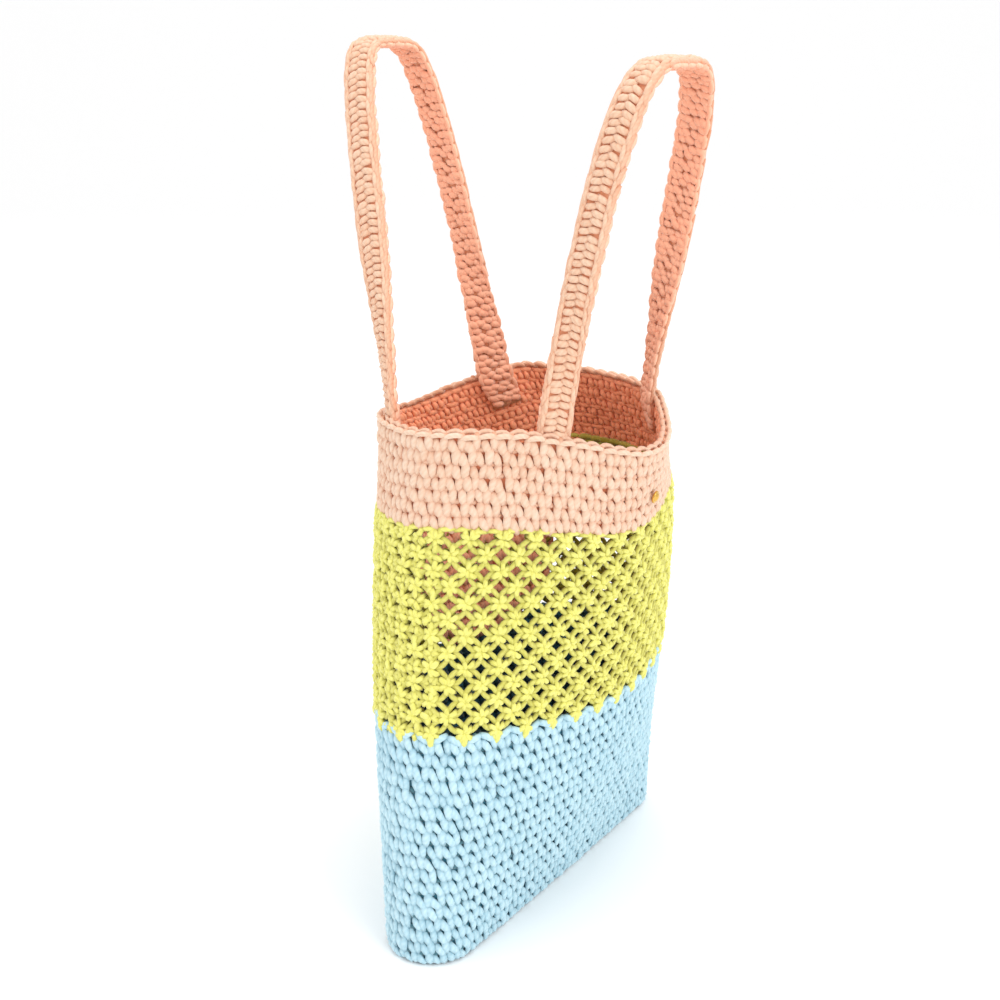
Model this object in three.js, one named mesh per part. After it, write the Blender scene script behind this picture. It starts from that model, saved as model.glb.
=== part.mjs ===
import * as THREE from 'three';

// A crocheted tote bag standing open on its own flat base, in millimetres, +Z up.
// The origin lies on the surface at the middle of the base. X runs along the base and -Y is the front.
// Every round of stitches has the same girth, so the walls are one skin from a long narrow base to a
// wide rim, and each band is a closed solid cut from that skin.

// The skin, and how it stands.
const GIRTH = 600;
const BODY_HEIGHT = 312;
const WALL = 4;
const BASE_END_RADIUS = 28.5;
const BASE_EDGE_ROUND = 5;
const BASE_EDGE_STEPS = 4;
const BASE_THICK = 4.5;
const FLOOR_COVE = 4;
const OPENING_OUT = 3.55;
const BACK_FLATTEN = 0.043;
const FLATTEN_BLEND = 20;
const CORNER_PULL = 0.016;
const SEAM_GAP = 0.4;
const TURN = 2 * Math.PI;

// The bands end at these shares of the body height. The blue wall has a ring of points at each level.
const BLUE_TOP = 0.456;
const LIME_TOP = 0.824;
const BLUE_LEVELS = [0.052, 0.085, 0.13, 0.18, 0.24, 0.31, 0.38];

// Sections of the skin: an oval at each share of the height, how far it leans and how far it is turned.
const SECTIONS = [
  { share: 0.0, half_length: 127, half_width: 56, shift_x: 0, shift_y: 0, turn_deg: 0 },
  { share: 0.4, half_length: 121.5, half_width: 70, shift_x: -2, shift_y: 1, turn_deg: -2.5 },
  { share: 0.8, half_length: 111.5, half_width: 79, shift_x: 12, shift_y: 10, turn_deg: -5 },
  { share: 1.0, half_length: 101.4, half_width: 89.4, shift_x: 2, shift_y: 11, turn_deg: 3 },
];

// The rim dips between the straps and is drawn up beside them: waves round the girth, in millimetres.
const RIM_WAVES = [
  { waves: 1, along: -1.5, across: 1.0 },
  { waves: 2, along: 8.1, across: 0.7 },
  { waves: 4, along: -2.7, across: 0.7 },
];

// Soft folds in the wall: where round the girth, how wide, how far out, and the share where each starts.
const FOLDS = [
  { at_deg: 124, half_width_deg: 26, out: -8, from_share: 0.7 },
  { at_deg: 47, half_width_deg: 9, out: -5, from_share: 0.7 },
  { at_deg: 29, half_width_deg: 9, out: 4, from_share: 0.7 },
  { at_deg: 205, half_width_deg: 16, out: -3, from_share: 0.3 },
  { at_deg: 262, half_width_deg: 18, out: 3, from_share: 0.3 },
  { at_deg: 303, half_width_deg: 20, out: -3, from_share: 0.7 },
];

// The lime band is an even net, cut at a little over its real pitch.
const NET_COLUMNS = 30;
const NET_ROWS = 9;
const NET_BORDER = 0.013;
const NET_OPEN = 0.58;
const AROUND = 2 * NET_COLUMNS;

// Straps: crocheted ribbons sewn flat against the inside of the top band.
const STRAP_WIDTH = 25;
const STRAP_THICK = 5;
const STRAP_FOOT = 22;
const STRAP_STEPS = 44;
const FOOT_STEPS = 3;
const FOOT_GAP = 0.3;
const TWIST_START = 8;
const TWIST_LENGTH = 95;
const STRAPS = [
  { name: 'strap_left', side: 1, far_deg: 46, near_deg: 152, rise: 208, arch_half: 35.5, corner: 4.7,
    lean: 0.226, bow: 0.025, arch_x: 1 },
  { name: 'strap_right', side: -1, far_deg: 320, near_deg: 224, rise: 199, arch_half: 48, corner: 4.3,
    lean: 0.154, bow: 0.056, arch_x: 0 },
];

// The inner pocket: a crocheted patch sewn to the inside of the back wall, with round lower corners.
const POCKET_WIDTH = 124;
const POCKET_AROUND = 0.2;
const POCKET_LOW = 140;
const POCKET_HIGH = 260;
const POCKET_ROUND = 45;
const POCKET_THICK = 3;
const POCKET_GAP = 0.5;
const POCKET_ROUND_ROWS = 6;
const POCKET_STRAIGHT_ROWS = 6;
const POCKET_COLUMNS = 12;

// A plain round stud on the top band, on the middle of one of its flat facets.
const PEACH_LEVELS = 4;
const STUD_COLUMN = 45;
const STUD_LEVEL = 1;
const STUD_RADIUS = 3.8;
const STUD_PROUD = 2.2;
const STUD_GAP = 0.3;

const COLOURS = { blue: '#9fd3f0', lime: '#cfdc4e', peach: '#f7c4a0', gold: '#c9a14e' };

function clamp01(value) {
  return Math.min(Math.max(value, 0), 1);
}

function smooth(value) {
  const t = clamp01(value);
  return t * t * (3 - 2 * t);
}

function mix(a, b, t) {
  return a + (b - a) * t;
}

// A column of the section table at any share of the height, as a smooth curve through its rows.
function column(name, share) {
  const rows = SECTIONS;
  let i = 0;
  while (i < rows.length - 2 && share > rows[i + 1].share) {
    i += 1;
  }
  const slope = (k) => {
    const low = rows[Math.max(k - 1, 0)];
    const high = rows[Math.min(k + 1, rows.length - 1)];
    return (high[name] - low[name]) / (high.share - low.share);
  };
  const a = rows[i];
  const b = rows[i + 1];
  const span = b.share - a.share;
  const t = (share - a.share) / span;
  const t2 = t * t;
  const t3 = t2 * t;
  return (2 * t3 - 3 * t2 + 1) * a[name] + (t3 - 2 * t2 + t) * span * slope(i)
    + (3 * t2 - 2 * t3) * b[name] + (t3 - t2) * span * slope(i + 1);
}

// A point on the long narrow base outline, by the share of the girth from its +X end.
function basePoint(share) {
  const quarter = Math.PI * BASE_END_RADIUS / 2;
  const straight = (GIRTH - 4 * quarter) / 2;
  const half = straight / 2;
  const run = (((share % 1) + 1) % 1) * GIRTH;
  const end = (centre, angle) => [
    centre + BASE_END_RADIUS * Math.cos(angle),
    BASE_END_RADIUS * Math.sin(angle),
  ];
  if (run < quarter) {
    return end(half, run / BASE_END_RADIUS);
  }
  if (run < quarter + straight) {
    return [half - (run - quarter), BASE_END_RADIUS];
  }
  if (run < 3 * quarter + straight) {
    return end(-half, Math.PI / 2 + (run - quarter - straight) / BASE_END_RADIUS);
  }
  if (run < 3 * quarter + 2 * straight) {
    return [run - 3 * quarter - straight - half, -BASE_END_RADIUS];
  }
  return end(half, -Math.PI / 2 + (run - 3 * quarter - 2 * straight) / BASE_END_RADIUS);
}

// The same share of the girth on an oval, measured along its edge.
function ovalPoint(share, halfLength, halfWidth) {
  const steps = 240;
  const lengths = [0];
  for (let k = 1; k <= steps; k += 1) {
    const a = TURN * (k - 1) / steps;
    const b = TURN * k / steps;
    const dx = halfLength * (Math.cos(b) - Math.cos(a));
    const dy = halfWidth * (Math.sin(b) - Math.sin(a));
    lengths.push(lengths[k - 1] + Math.hypot(dx, dy));
  }
  const wanted = (((share % 1) + 1) % 1) * lengths[steps];
  let k = 0;
  while (lengths[k + 1] < wanted) {
    k += 1;
  }
  const angle = TURN * (k + (wanted - lengths[k]) / (lengths[k + 1] - lengths[k])) / steps;
  return [halfLength * Math.cos(angle), halfWidth * Math.sin(angle)];
}

// How far the soft folds push the wall out at one place.
function foldPush(around, up) {
  let push = 0;
  for (const fold of FOLDS) {
    const away = ((around * 360 - fold.at_deg + 540) % 360) - 180;
    const across = Math.exp(-((away / fold.half_width_deg) ** 2));
    push += fold.out * across * smooth((up - fold.from_share) / (1 - fold.from_share));
  }
  return push;
}

// The outer face of the bag: around is the share of the girth, up is the share of the height.
function skin(around, up) {
  const open = 1 - (1 - up) ** OPENING_OUT;
  const [bx, by] = basePoint(around);
  const [ox, oy] = ovalPoint(around, column('half_length', up), column('half_width', up));
  let x = mix(bx, ox, open);
  let y = mix(by, oy, open);
  y *= 1 - BACK_FLATTEN * up * Math.tanh(y / FLATTEN_BLEND);
  const angle = Math.atan2(y, x);
  const reach = Math.hypot(x, y) * (1 + CORNER_PULL * up * Math.cos(4 * angle)) + foldPush(around, up);
  x = reach * Math.cos(angle);
  y = reach * Math.sin(angle);
  const turn = THREE.MathUtils.degToRad(column('turn_deg', up));
  let z = up * BODY_HEIGHT;
  for (const wave of RIM_WAVES) {
    const phase = wave.waves * TURN * around;
    z += up * up * (wave.along * Math.cos(phase) + wave.across * Math.sin(phase));
  }
  return new THREE.Vector3(
    column('shift_x', up) + x * Math.cos(turn) - y * Math.sin(turn),
    column('shift_y', up) + x * Math.sin(turn) + y * Math.cos(turn),
    z,
  );
}

// The level direction that points straight out of the wall.
function outward(around, up) {
  const step = 0.5 / AROUND;
  const along = skin(around + step, up).sub(skin(around - step, up));
  return new THREE.Vector3(along.y, -along.x, 0).normalize();
}

// A point at a depth behind the outer face.
function inWall(around, up, depth) {
  return skin(around, up).addScaledVector(outward(around, up), -depth);
}

// One closed solid from shared points and triangles.
class Solid {
  constructor() {
    this.points = [];
    this.faces = [];
  }

  point(vector) {
    this.points.push(vector.x, vector.y, vector.z);
    return this.points.length / 3 - 1;
  }

  ring(count, place) {
    return Array.from({ length: count }, (_, i) => this.point(place(i / count)));
  }

  triangle(a, b, c) {
    this.faces.push(a, b, c);
  }

  quad(a, b, c, d) {
    this.triangle(a, b, c);
    this.triangle(a, c, d);
  }

  // Joins two rings of equal count: the second lies above the first, seen from outside.
  join(low, high) {
    const n = low.length;
    for (let i = 0; i < n; i += 1) {
      const j = (i + 1) % n;
      this.quad(low[i], low[j], high[j], high[i]);
    }
  }

  // Closes a ring with a fan from its middle: up is true where the face looks up.
  cap(ring, middle, up) {
    const centre = this.point(middle);
    const n = ring.length;
    for (let i = 0; i < n; i += 1) {
      const j = (i + 1) % n;
      if (up) {
        this.triangle(centre, ring[i], ring[j]);
      } else {
        this.triangle(centre, ring[j], ring[i]);
      }
    }
  }

  mesh(name, colour, roughness, metalness) {
    const geometry = new THREE.BufferGeometry();
    geometry.setAttribute('position', new THREE.Float32BufferAttribute(this.points, 3));
    geometry.setIndex(this.faces);
    geometry.computeVertexNormals();
    const material = new THREE.MeshStandardMaterial({ color: colour, roughness, metalness });
    const mesh = new THREE.Mesh(geometry, material);
    mesh.name = name;
    return mesh;
  }
}

function wallRing(solid, up, depth) {
  return solid.ring(AROUND, (around) => inWall(around, up, depth));
}

function spread(from, to, count) {
  return Array.from({ length: count + 1 }, (_, i) => mix(from, to, i / count));
}

// Closes the end of a flat strip: its loop runs along one face and back along the other.
function closeLoop(solid, loop, flip) {
  const wide = loop.length;
  for (let i = 0; i < wide / 2 - 1; i += 1) {
    const corners = [loop[i], loop[i + 1], loop[wide - 2 - i], loop[wide - 1 - i]];
    solid.quad(...(flip ? corners.reverse() : corners));
  }
}

// The blue body: its flat base, the rounded edge, then the wall, with the hollow inside.
function blueBody() {
  const solid = new Solid();
  const seam = SEAM_GAP / 2 / BODY_HEIGHT;
  const rings = spread(0, Math.PI / 2, BASE_EDGE_STEPS).map((angle) => {
    const up = BASE_EDGE_ROUND * (1 - Math.cos(angle)) / BODY_HEIGHT;
    return wallRing(solid, up, BASE_EDGE_ROUND * (1 - Math.sin(angle)));
  });
  const levels = [...BLUE_LEVELS, BLUE_TOP - seam];
  levels.forEach((up) => rings.push(wallRing(solid, up, 0)));
  const hollow = [...levels].reverse().map((up) => wallRing(solid, up, WALL));
  const floorUp = BASE_THICK / BODY_HEIGHT;
  hollow.push(wallRing(solid, (BASE_THICK + FLOOR_COVE) / BODY_HEIGHT, WALL));
  hollow.push(wallRing(solid, floorUp, WALL + FLOOR_COVE));
  const all = [...rings, ...hollow];
  for (let k = 1; k < all.length; k += 1) {
    solid.join(all[k - 1], all[k]);
  }
  solid.cap(rings[0], new THREE.Vector3(0, 0, 0), false);
  solid.cap(hollow[hollow.length - 1], new THREE.Vector3(0, 0, BASE_THICK), true);
  return solid.mesh('blue_lower_body', COLOURS.blue, 0.85, 0);
}

// The peach band: a plain closed loop of wall.
function peachBand() {
  const solid = new Solid();
  const seam = SEAM_GAP / 2 / BODY_HEIGHT;
  const levels = spread(LIME_TOP + seam, 1, PEACH_LEVELS);
  const outer = levels.map((up) => wallRing(solid, up, 0));
  const inner = [...levels].reverse().map((up) => wallRing(solid, up, WALL));
  const all = [...outer, ...inner, outer[0]];
  for (let k = 1; k < all.length; k += 1) {
    solid.join(all[k - 1], all[k]);
  }
  return solid.mesh('peach_top_band', COLOURS.peach, 0.85, 0);
}

// The lime band: diamond gaps in staggered rows, cut right through, between two plain edges.
function limeBand() {
  const solid = new Solid();
  const seam = SEAM_GAP / 2 / BODY_HEIGHT;
  const bottom = BLUE_TOP + seam;
  const top = LIME_TOP - seam;
  const netBottom = bottom + NET_BORDER;
  const rise = (top - bottom - 2 * NET_BORDER) / (NET_ROWS + 1);
  const place = (depth) => (c, level) => inWall(c / AROUND, netBottom + level * rise, depth);
  const faces = [0, WALL].map((depth) => {
    const at = place(depth);
    const knots = new Map();
    for (let level = 0; level <= NET_ROWS + 1; level += 1) {
      for (let c = level % 2; c < AROUND; c += 2) {
        knots.set(`${c},${level}`, solid.point(at(c, level)));
      }
    }
    const knot = (c, level) => knots.get(`${(c + AROUND) % AROUND},${level}`);
    return { at, knot };
  });
  const diamond = [[-1, 0], [0, -1], [1, 0], [0, 1]];
  for (let row = 0; row < NET_ROWS; row += 1) {
    for (let c = row % 2; c < AROUND; c += 2) {
      const [outer, inner] = faces.map(({ at, knot }) => ({
        rim: diamond.map(([dc, dl]) => knot(c + dc, row + 1 + dl)),
        gap: diamond.map(([dc, dl]) => solid.point(at(c + NET_OPEN * dc, row + 1 + NET_OPEN * dl))),
      }));
      for (let k = 0; k < 4; k += 1) {
        const n = (k + 1) % 4;
        solid.quad(outer.rim[k], outer.rim[n], outer.gap[n], outer.gap[k]);
        solid.quad(inner.rim[n], inner.rim[k], inner.gap[k], inner.gap[n]);
        solid.quad(outer.gap[k], outer.gap[n], inner.gap[n], inner.gap[k]);
      }
    }
  }
  const edges = [0, WALL].map((depth) => ({
    low: wallRing(solid, bottom, depth),
    high: wallRing(solid, top, depth),
  }));
  faces.forEach(({ knot }, face) => {
    const turned = face === 1;
    const add = (a, b, c) => (turned ? solid.triangle(a, c, b) : solid.triangle(a, b, c));
    const { low, high } = edges[face];
    const topLevel = NET_ROWS + 1;
    for (let c = 0; c < AROUND; c += 2) {
      const mid = c + 1;
      const next = (c + 2) % AROUND;
      add(knot(c, 0), knot(next, 0), knot(mid, 1));
      add(low[c], low[mid], knot(c, 0));
      add(low[mid], knot(next, 0), knot(c, 0));
      add(low[mid], low[next], knot(next, 0));
      add(knot(mid, topLevel - 1), knot(next, topLevel), knot(c, topLevel));
      add(knot(c, topLevel), high[mid], high[c]);
      add(knot(c, topLevel), knot(next, topLevel), high[mid]);
      add(knot(next, topLevel), high[next], high[mid]);
    }
  });
  solid.join(edges[0].high, edges[1].high);
  solid.join(edges[1].low, edges[0].low);
  return solid.mesh('lime_openwork_band', COLOURS.lime, 0.85, 0);
}

// The middle line of a strap above the rim: two legs that draw together and a rounded arch.
function strapLine(strap, far, near, angle) {
  const cos = Math.cos(angle);
  const side = Math.sign(cos) * Math.abs(cos) ** (2 / strap.corner);
  const lift = Math.abs(Math.sin(angle)) ** (2 / strap.corner);
  const height = strap.rise * lift;
  const halfSpread = mix((far.x - near.x) / 2, strap.arch_half, lift);
  const middle = mix((far.x + near.x) / 2, strap.arch_x, lift);
  const level = (far.y + near.y) / 2 + (far.y - near.y) / 2 * side * (1 - lift);
  const out = strap.side * (strap.lean * height + strap.bow * height * lift);
  const foot = mix(near.z, far.z, (side + 1) / 2);
  const root = mix(foot, (far.z + near.z) / 2, lift);
  return new THREE.Vector3(middle + halfSpread * side, level + out, root + height);
}

// Even steps along the strap's middle line, from the far foot to the near one.
function strapSteps(strap, far, near) {
  const fine = 2000;
  const line = Array.from({ length: fine + 1 }, (_, i) => strapLine(strap, far, near, Math.PI * i / fine));
  const lengths = [0];
  for (let i = 1; i <= fine; i += 1) {
    lengths.push(lengths[i - 1] + line[i].distanceTo(line[i - 1]));
  }
  const steps = [];
  let i = 0;
  for (let k = 0; k <= STRAP_STEPS; k += 1) {
    const wanted = lengths[fine] * k / STRAP_STEPS;
    while (i < fine - 1 && lengths[i + 1] < wanted) {
      i += 1;
    }
    const t = (wanted - lengths[i]) / (lengths[i + 1] - lengths[i]);
    steps.push(line[i].clone().lerp(line[i + 1], t));
  }
  return steps;
}

// One strap: both feet lie against the inside of the top band, and the rest stands free.
function strapMesh(strap) {
  const solid = new Solid();
  const depth = WALL + FOOT_GAP + STRAP_THICK / 2;
  const across = [-1, -0.5, 0, 0.5, 1];
  const halfShare = STRAP_WIDTH / 2 / GIRTH;
  const feet = [
    { around: strap.far_deg / 360, sign: 1 },
    { around: strap.near_deg / 360, sign: -1 },
  ];
  const [far, near] = feet.map((foot) => inWall(foot.around, 1, depth));
  const footRow = (foot, up) => across.map((b) => {
    const around = foot.around + foot.sign * b * halfShare;
    return { place: inWall(around, up, depth), out: outward(around, up) };
  });
  const rows = [];
  for (let k = FOOT_STEPS; k > 0; k -= 1) {
    rows.push(footRow(feet[0], 1 - STRAP_FOOT * k / FOOT_STEPS / BODY_HEIGHT));
  }
  const steps = strapSteps(strap, far, near);
  steps.forEach((centre, k) => {
    const before = steps[Math.max(k - 1, 0)];
    const after = steps[Math.min(k + 1, STRAP_STEPS)];
    const along = after.clone().sub(before).normalize();
    const foot = k < STRAP_STEPS / 2 ? feet[0] : feet[1];
    const root = k < STRAP_STEPS / 2 ? far : near;
    const wall = footRow(foot, 1);
    const rise = centre.z - root.z;
    const twist = smooth((rise - TWIST_START) / TWIST_LENGTH);
    const shape = wall.map(({ place, out }) => ({ offset: place.clone().sub(root), out }));
    const ribbon = new THREE.Vector3(0, 1, 0);
    ribbon.addScaledVector(along, -ribbon.dot(along)).normalize();
    const face = ribbon.clone().cross(along).normalize();
    rows.push(shape.map(({ offset, out }, i) => {
      const flat = ribbon.clone().multiplyScalar(across[i] * STRAP_WIDTH / 2);
      const place = centre.clone().add(offset.lerp(flat, twist));
      return { place, out: out.clone().lerp(face, twist).normalize() };
    }));
  });
  for (let k = 1; k <= FOOT_STEPS; k += 1) {
    rows.push(footRow(feet[1], 1 - STRAP_FOOT * k / FOOT_STEPS / BODY_HEIGHT));
  }
  const loops = rows.map((row) => {
    const outer = row.map(({ place, out }) => place.clone().addScaledVector(out, STRAP_THICK / 2));
    const inner = row.map(({ place, out }) => place.clone().addScaledVector(out, -STRAP_THICK / 2));
    return [...outer, ...inner.reverse()].map((vector) => solid.point(vector));
  });
  for (let k = 1; k < loops.length; k += 1) {
    solid.join(loops[k - 1], loops[k]);
  }
  closeLoop(solid, loops[0], true);
  closeLoop(solid, loops[loops.length - 1], false);
  return solid.mesh(strap.name, COLOURS.peach, 0.85, 0);
}

// The inner pocket: rows across the patch that widen round its lower corners, then stay as wide.
function pocketMesh() {
  const solid = new Solid();
  const narrow = POCKET_WIDTH / 2 - POCKET_ROUND;
  const rows = spread(0, Math.PI / 2, POCKET_ROUND_ROWS).map((angle) => ({
    half: narrow + POCKET_ROUND * Math.sin(angle),
    z: POCKET_LOW + POCKET_ROUND * (1 - Math.cos(angle)),
  }));
  spread(POCKET_LOW + POCKET_ROUND, POCKET_HIGH, POCKET_STRAIGHT_ROWS).slice(1).forEach((z) => {
    rows.push({ half: POCKET_WIDTH / 2, z });
  });
  const depths = [WALL + POCKET_GAP, WALL + POCKET_GAP + POCKET_THICK];
  const loops = rows.map(({ half, z }) => {
    const [outer, inner] = depths.map((depth) => spread(-half, half, POCKET_COLUMNS).map((across) => (
      inWall(POCKET_AROUND + across / GIRTH, z / BODY_HEIGHT, depth)
    )));
    return [...outer, ...inner.reverse()].map((vector) => solid.point(vector));
  });
  for (let k = 1; k < loops.length; k += 1) {
    solid.join(loops[k - 1], loops[k]);
  }
  closeLoop(solid, loops[0], true);
  closeLoop(solid, loops[loops.length - 1], false);
  return solid.mesh('inner_pocket', COLOURS.peach, 0.85, 0);
}

// The stud: a low turned dome with a flat back, square to the wall.
function studMesh() {
  const dome = 6;
  const profile = [new THREE.Vector2(0, 0), new THREE.Vector2(STUD_RADIUS, 0)];
  for (let k = 1; k <= dome; k += 1) {
    const angle = Math.PI / 2 * k / dome;
    const radius = k === dome ? 0 : STUD_RADIUS * Math.cos(angle);
    profile.push(new THREE.Vector2(radius, STUD_PROUD * Math.sin(angle)));
  }
  const geometry = new THREE.LatheGeometry(profile, 20);
  const material = new THREE.MeshStandardMaterial({ color: COLOURS.gold, roughness: 0.3, metalness: 1 });
  const mesh = new THREE.Mesh(geometry, material);
  mesh.name = 'stud';
  const corner = (across, up) => skin(
    (STUD_COLUMN + across) / AROUND,
    mix(LIME_TOP, 1, (STUD_LEVEL + up) / PEACH_LEVELS),
  );
  const rising = corner(1, 1).sub(corner(0, 0));
  const falling = corner(0, 1).sub(corner(1, 0));
  const out = rising.clone().cross(falling).normalize();
  const middle = corner(0, 0).addScaledVector(rising, 0.5);
  const other = corner(1, 0).addScaledVector(falling, 0.5);
  const proud = Math.abs(other.clone().sub(middle).dot(out)) + STUD_GAP;
  mesh.position.copy(middle.lerp(other, 0.5).addScaledVector(out, proud));
  mesh.quaternion.setFromUnitVectors(new THREE.Vector3(0, 1, 0), out);
  return mesh;
}

const bag = new THREE.Group();
bag.name = 'crochet_tote_bag';
bag.add(blueBody(), limeBand(), peachBand(), pocketMesh());
STRAPS.forEach((strap) => bag.add(strapMesh(strap)));
bag.add(studMesh());

export default bag;
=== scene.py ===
import bpy
import numpy as np
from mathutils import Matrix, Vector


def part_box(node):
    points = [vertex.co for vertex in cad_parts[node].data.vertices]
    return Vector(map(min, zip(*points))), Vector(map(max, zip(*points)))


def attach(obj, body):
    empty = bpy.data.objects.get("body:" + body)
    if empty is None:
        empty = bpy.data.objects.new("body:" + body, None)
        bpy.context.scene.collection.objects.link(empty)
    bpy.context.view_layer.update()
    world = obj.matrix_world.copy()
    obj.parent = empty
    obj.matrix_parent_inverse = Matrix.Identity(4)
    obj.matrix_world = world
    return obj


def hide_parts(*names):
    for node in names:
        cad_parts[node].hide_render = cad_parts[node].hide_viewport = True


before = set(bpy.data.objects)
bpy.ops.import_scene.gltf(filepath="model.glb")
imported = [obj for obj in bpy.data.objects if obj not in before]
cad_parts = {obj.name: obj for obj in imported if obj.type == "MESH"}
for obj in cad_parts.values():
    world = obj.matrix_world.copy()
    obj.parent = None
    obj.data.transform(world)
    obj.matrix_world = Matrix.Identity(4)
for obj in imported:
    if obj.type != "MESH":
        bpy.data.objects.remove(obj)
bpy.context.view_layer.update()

# The photographer's place: a 50 mm lens looks down at the bag's narrow end from its front left.
# The camera was fitted to the rim, the band edges, the base and both straps.
MM = 0.001
CAMERA_PLACE = (-694.1, -450.2, 518.7)
CAMERA_TURN_DEG = -55.738
CAMERA_DOWN_DEG = 17.709
LENS = 50.6

lens = bpy.data.cameras.new("photo_camera")
lens.lens = LENS
lens.sensor_width = 36
camera = bpy.data.objects.new("photo_camera", lens)
camera.location = np.array(CAMERA_PLACE) * MM
camera.rotation_euler = (np.radians(90 - CAMERA_DOWN_DEG), 0, np.radians(CAMERA_TURN_DEG))
bpy.context.scene.collection.objects.link(camera)
bpy.context.scene.camera = camera


def linear(colour):
    """An sRGB hex colour as linear red, green, blue and alpha: the inverse of the sRGB curve
    for each channel."""
    value = np.array([int(colour[k:k + 2], 16) for k in (1, 3, 5)]) / 255
    curve = np.where(value <= 0.04045, value / 12.92, ((value + 0.055) / 1.055) ** 2.4)
    return (*curve.tolist(), 1.0)


def node(tree, kind, settings=None, **links):
    """Adds a shader node, with its settings, and with a value or another node's output on each
    named input."""
    made = tree.nodes.new("ShaderNode" + kind)
    for name, value in (settings or {}).items():
        setattr(made, name, value)
    for name, value in links.items():
        socket = made.inputs[int(name[1:]) if name[1:].isdigit() else name.replace("_", " ")]
        if isinstance(value, bpy.types.NodeSocket):
            tree.links.new(value, socket)
        else:
            socket.default_value = value
    return made


def new_material(name):
    """A named material with an empty Principled surface, and its node tree and surface node."""
    material = bpy.data.materials.new(name)
    material.use_nodes = True
    tree = material.node_tree
    return material, tree, tree.nodes["Principled BSDF"]


# The floor and the wall behind it: one sweep of white matte background paper.
# It's level under the bag and curves up far behind it.
FLOOR_HALF = 6.0
SWEEP_START = 4.0
SWEEP_RADIUS = 3.0

paper, tree, surface = new_material("white_background_paper")
surface.inputs["Base Color"].default_value = linear("#fbfbfb")
surface.inputs["Roughness"].default_value = 0.9
grain = node(tree, "TexNoise", Vector=node(tree, "TexCoord").outputs["Object"], Scale=90.0)
bump = node(tree, "Bump", Strength=0.02, Distance=MM, Height=grain.outputs["Fac"])
tree.links.new(bump.outputs["Normal"], surface.inputs["Normal"])

run = np.linspace(0, 1, 60)
away = np.concatenate([[-FLOOR_HALF], SWEEP_START + SWEEP_RADIUS * np.sin(run * np.pi / 2)])
rise = np.concatenate([[0], SWEEP_RADIUS * (1 - np.cos(run * np.pi / 2))])
view_turn = np.radians(CAMERA_TURN_DEG)
side = np.array([np.cos(view_turn), np.sin(view_turn)])
ahead = np.array([-np.sin(view_turn), np.cos(view_turn)])
edges = [np.column_stack([away[:, None] * ahead + width * side, rise])
         for width in (-FLOOR_HALF, FLOOR_HALF)]
count = len(away)
low = np.arange(count - 1)
mesh = bpy.data.meshes.new("paper_sweep")
faces = np.column_stack([low, low + count, low + count + 1, low + 1])
mesh.from_pydata(np.concatenate(edges).tolist(), [], faces.tolist())
mesh.polygons.foreach_set("use_smooth", np.ones(len(faces), bool))
mesh.materials.append(paper)
sweep = bpy.data.objects.new("paper_sweep", mesh)
bpy.context.scene.collection.objects.link(sweep)

# The studio: white all round, one large soft lamp high beside the camera, a weaker one opposite and one
# overhead that reaches into the bag.
# The picture is exposed so that the paper is just white.
WORLD_LIGHT = 1.0
LAMPS = (
    # name, place in metres, width in metres, watts
    ("key_softbox", (-0.5, -2.4, 2.2), 1.4, 23.0),
    ("fill_softbox", (-2.0, 1.2, 2.2), 2.0, 6.0),
    ("overhead_softbox", (0.1, 0.01, 2.6), 1.2, 14.0),
)
TARGET = np.array([0.0, 0.0, 0.2])

world = bpy.data.worlds.new("white_studio")
world.use_nodes = True
world.node_tree.nodes["Background"].inputs["Color"].default_value = (1, 1, 1, 1)
world.node_tree.nodes["Background"].inputs["Strength"].default_value = WORLD_LIGHT
bpy.context.scene.world = world
bpy.context.scene.view_settings.view_transform = "Standard"
for name, place, width, watts in LAMPS:
    lamp = bpy.data.lights.new(name, "AREA")
    lamp.size = width
    lamp.energy = watts
    box = bpy.data.objects.new(name, lamp)
    box.location = place
    aim = TARGET - np.array(place)
    box.rotation_euler = (
        np.arctan2(np.hypot(aim[0], aim[1]), -aim[2]), 0, np.arctan2(aim[1], aim[0]) - np.pi / 2)
    bpy.context.scene.collection.objects.link(box)


# The blue lower body: single crochet in rounds, of soft 3 mm cotton cord, over a flat oval base.
# Every round of the bag has the same number of stitches, so the whole wall is one skin from a long
# narrow base to a wide rim. Sizes are in millimetres.
GIRTH = 600.0
HEIGHT = 312.0
BASE_END_RADIUS = 28.5
BASE_EDGE = 5.0
OPENING_OUT = 3.55
BACK_FLATTEN = 0.043
FLATTEN_BLEND = 20.0
CORNER_PULL = 0.016
WALL = 4.0
BLUE_TOP = 0.456 * HEIGHT - BASE_EDGE
LIME_TOP = 0.824 * HEIGHT - BASE_EDGE
RIM = HEIGHT - BASE_EDGE
SECTIONS = {
    "share": (0.0, 0.4, 0.8, 1.0),
    "half_length": (127.0, 121.5, 111.5, 101.4),
    "half_width": (56.0, 70.0, 79.0, 89.4),
    "shift_x": (0.0, -2.0, 12.0, 2.0),
    "shift_y": (0.0, 1.0, 10.0, 11.0),
    "turn_deg": (0.0, -2.5, -5.0, 3.0),
}
RIM_WAVES = (
    # waves round the girth, height of its cosine, height of its sine
    (1, -1.5, 1.0),
    (2, 8.1, 0.7),
    (4, -2.7, 0.7),
)
FOLDS = (
    # middle and half width in degrees round the girth, how far out in mm, share of the height
    # where it starts
    (124, 26, -8.0, 0.7),
    (47, 9, -5.0, 0.7),
    (29, 9, 4.0, 0.7),
    (205, 16, -3.0, 0.3),
    (262, 18, 3.0, 0.3),
    (303, 20, -3.0, 0.7),
)
COLUMNS = 1200


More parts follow.
